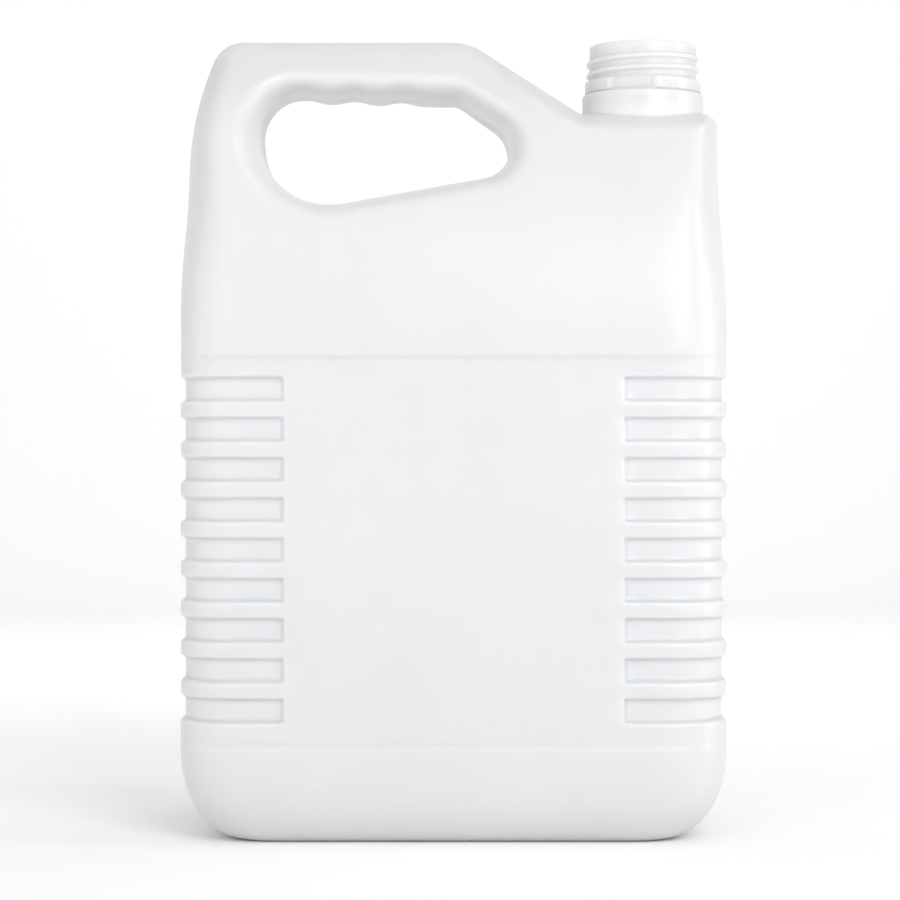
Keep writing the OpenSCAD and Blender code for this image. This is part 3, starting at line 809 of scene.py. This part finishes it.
def relief_tree():
    tree = bpy.data.node_groups.new("mould_relief", "GeometryNodeTree")
    tree.interface.new_socket("Geometry", in_out="INPUT", socket_type="NodeSocketGeometry")
    tree.interface.new_socket("Geometry", in_out="OUTPUT", socket_type="NodeSocketGeometry")
    for name, value in relief_sizes.items():
        tree.interface.new_socket(name, in_out="INPUT", socket_type="NodeSocketFloat").default_value = value
    entry = tree.nodes.new("NodeGroupInput")
    size = {name: entry.outputs[name] for name in relief_sizes}
    split = tree.nodes.new("ShaderNodeSeparateXYZ")
    tree.links.new(tree.nodes.new("GeometryNodeInputPosition").outputs[0], split.inputs[0])
    x, y, z = split.outputs
    push = tree.nodes.new("ShaderNodeVectorMath")
    push.operation = "SCALE"
    tree.links.new(named(tree, "push", "FLOAT_VECTOR"), push.inputs[0])
    tree.links.new(groove_cut(tree, size, z), push.inputs["Scale"])
    rise, angle = thread_rise(tree, size, x, y, z)
    marked_z = calc(tree, "MULTIPLY", named(tree, "on_neck", "FLOAT"), z)
    outer = calc(tree, "GREATER_THAN", marked_z, bead_z + bead_h)
    rise = calc(tree, "MULTIPLY", rise, outer)
    spoke = tree.nodes.new("ShaderNodeCombineXYZ")
    tree.links.new(calc(tree, "MULTIPLY", calc(tree, "COSINE", angle), rise), spoke.inputs[0])
    tree.links.new(calc(tree, "MULTIPLY", calc(tree, "SINE", angle), rise), spoke.inputs[1])
    both = tree.nodes.new("ShaderNodeVectorMath")
    tree.links.new(push.outputs[0], both.inputs[0])
    tree.links.new(spoke.outputs[0], both.inputs[1])
    move = tree.nodes.new("GeometryNodeSetPosition")
    tree.links.new(entry.outputs["Geometry"], move.inputs["Geometry"])
    tree.links.new(both.outputs[0], move.inputs["Offset"])
    real = tree.nodes.new("GeometryNodeRealizeInstances")
    finish = tree.nodes.new("GeometryNodeSetMaterial")
    finish.inputs["Material"].default_value = plastic
    leave = tree.nodes.new("NodeGroupOutput")
    tree.links.new(move.outputs[0], real.inputs[0])
    tree.links.new(real.outputs[0], finish.inputs["Geometry"])
    tree.links.new(finish.outputs[0], leave.inputs[0])
    return tree


relief = relief_tree()
print("nodes in the relief tree:", len(relief.nodes))

# %% [markdown]
# The tree is applied once and its result kept as a plain mesh, because the exported model can't carry a
# live modifier. Only the outside of the neck is threaded, so the bore's points are left where they are.

# %% Cut the grooves and raise the thread
def applied(name, source, tree, sizes):
    modifier = source.modifiers.new("relief", "NODES")
    modifier.node_group = tree
    for item in tree.interface.items_tree:
        if item.in_out == "INPUT" and item.name in sizes:
            modifier[item.identifier] = float(sizes[item.name])
    graph = bpy.context.evaluated_depsgraph_get()
    evaluated = source.evaluated_get(graph)
    mesh = bpy.data.meshes.new_from_object(evaluated, preserve_all_data_layers=True, depsgraph=graph)
    source.modifiers.remove(modifier)
    mesh.name = name
    made = bpy.data.objects.new(name, mesh)
    bpy.context.scene.collection.objects.link(made)
    bpy.data.objects.remove(source)
    return made


jug = applied("jug_skin", blank, relief, relief_sizes)
for polygon in jug.data.polygons:
    polygon.use_smooth = True
for name in ("push", "on_neck"):
    jug.data.attributes.remove(jug.data.attributes[name])
print("jug:", len(jug.data.vertices), "points,", 2 * len(jug.data.polygons), "triangles")
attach(jug, "root")
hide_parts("jug")

# %% [markdown]
# The studio. The jug stands on a white sweep that runs up behind it, so that there is no horizon. The
# front is lit by a large soft key from the right and a weaker fill from the left. Two narrow strips draw
# the long highlights down the upright corners, and a light of its own keeps the backdrop white.

# %% Floor
def white_sweep():
    bm = bmesh.new()
    path = [(-1.6, 0.0)]
    path += [(1.2 + 0.5 * math.sin(a), 0.5 - 0.5 * math.cos(a)) for a in np.linspace(0, math.pi / 2, 17)]
    path += [(1.7, 3.0)]
    lines = [[bm.verts.new((x, y, z)) for x in (-3.0, 3.0)] for y, z in path]
    for low, high in zip(lines[:-1], lines[1:]):
        bm.faces.new((low[0], low[1], high[1], high[0]))
    mesh = bpy.data.meshes.new("white_sweep")
    bm.to_mesh(mesh)
    bm.free()
    for polygon in mesh.polygons:
        polygon.use_smooth = True
    return mesh


floor = bpy.data.objects.new("white_sweep", white_sweep())
bpy.context.scene.collection.objects.link(floor)
paper = bpy.data.materials.new("white_paper")
paper.use_nodes = True
paper.node_tree.nodes["Principled BSDF"].inputs["Base Color"].default_value = (0.9, 0.9, 0.9, 1)
paper.node_tree.nodes["Principled BSDF"].inputs["Roughness"].default_value = 0.9
floor.data.materials.append(paper)

# %% Lights
def soft_light(name, place, aim, size, power, colour=(1, 1, 1)):
    data = bpy.data.lights.new(name, "AREA")
    data.shape = "RECTANGLE"
    data.size, data.size_y = size
    data.energy = power
    data.color = colour
    light = bpy.data.objects.new(name, data)
    light.location = place
    light.rotation_mode = "QUATERNION"
    light.rotation_quaternion = (Vector(aim) - Vector(place)).to_track_quat("-Z", "Y")
    bpy.context.scene.collection.objects.link(light)
    return light


aim = (0, 0, 0.13)
soft_light("key", (0.6, -1.3, 0.8), aim, (0.7, 1.0), 11)
soft_light("fill", (-0.8, -1.2, 0.5), aim, (0.8, 1.0), 4.5)
soft_light("top", (0, 0.2, 1.6), aim, (1.4, 1.2), 4)
soft_light("right strip", (0.98, -0.18, 0.2), aim, (0.07, 0.9), 3)
soft_light("left strip", (-0.96, -0.29, 0.2), aim, (0.07, 0.9), 1)
soft_light("backdrop", (0, 0.4, 0.9), (0, 1.5, 0.3), (1.8, 0.4), 6)
world = bpy.data.worlds.new("studio")
world.use_nodes = True
world.node_tree.nodes["Background"].inputs["Color"].default_value = (1, 1, 1, 1)
world.node_tree.nodes["Background"].inputs["Strength"].default_value = 0.55
bpy.context.scene.world = world
bpy.context.scene.view_settings.view_transform = "Standard"

# %% [markdown]
# The camera stands square to the front, level with the middle of the jug, and far enough away to keep
# both side walls nearly edge on.

# %% Camera
camera_far, camera_z, camera_x = 0.927, 0.1287, -1.2 * mm
camera = bpy.data.objects.new("camera", bpy.data.cameras.new("camera"))
camera.data.lens = 107.5
camera.location = (camera_x, -camera_far, camera_z)
camera.rotation_euler = (math.pi / 2, 0, 0)
camera.data.clip_start, camera.data.clip_end = 0.05, 20
bpy.context.scene.collection.objects.link(camera)
bpy.context.scene.camera = camera
